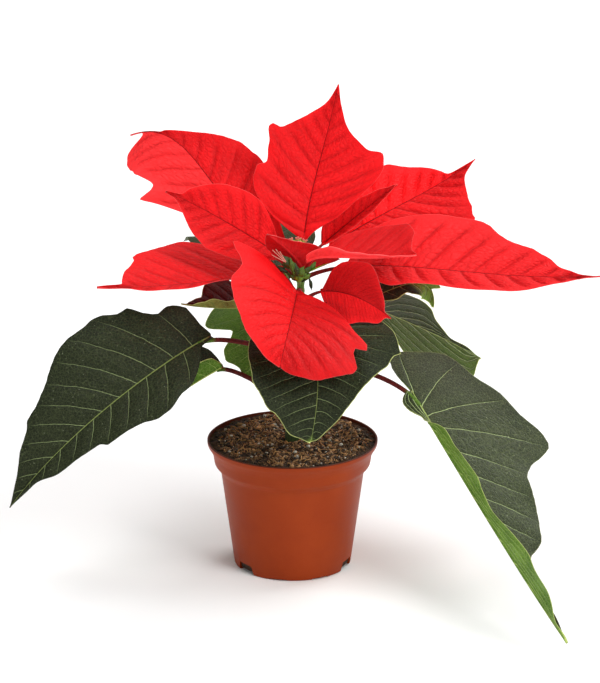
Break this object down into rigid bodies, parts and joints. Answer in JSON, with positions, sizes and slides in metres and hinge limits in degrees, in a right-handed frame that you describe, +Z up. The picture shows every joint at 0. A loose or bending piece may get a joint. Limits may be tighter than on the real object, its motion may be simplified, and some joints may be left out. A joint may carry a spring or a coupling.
{
  "type": "potted poinsettia",
  "caption": "Small potted poinsettia: dark green lobed leaves and red bracts on a green stem, standing in soil in a tapered terracotta-coloured plastic nursery pot.",
  "frame": {"origin": "centre of the pot's underside, on the surface it stands on", "axes": "+Z up along the pot's axis; -Y towards the front of the plant; +X to the right of a viewer who looks along +Y"},
  "size_m": [0.3562, 0.2893, 0.2916],
  "materials": {
    "pot": "satin terracotta-coloured plastic",
    "soil": null,
    "stem": "smooth green stem, brown and woody at the foot",
    "flowers": "waxy yellow-green cups with red tips",
    "bract": "velvety bright red, with paler edges and darker veins",
    "leaf": "satin dark green with pale veins, light green beneath, on dark red stalks",
    "young_leaf": "satin dark maroon, yellow-green beneath"
  },
  "bodies": {
    "root": {"pot": "pot", "soil": "soil", "stem": "stem", "flowers": "flowers", "bract_top": "bract", "bract_upper_left": "bract", "bract_left_small": "bract", "bract_left_low": "bract", "bract_front": "bract", "bract_front_right": "bract", "bract_right_small": "bract", "bract_upper_right": "bract", "bract_right_long": "bract", "bract_narrow": "bract", "bract_centre": "bract", "leaf_left": "leaf", "leaf_left_under": "leaf", "leaf_front": "leaf", "leaf_right": "leaf", "leaf_right_back": "leaf", "leaf_right_small": "leaf", "leaf_maroon": "young_leaf", "leaf_back_low": "leaf", "leaf_back": "leaf"}
  },
  "joints": []
}
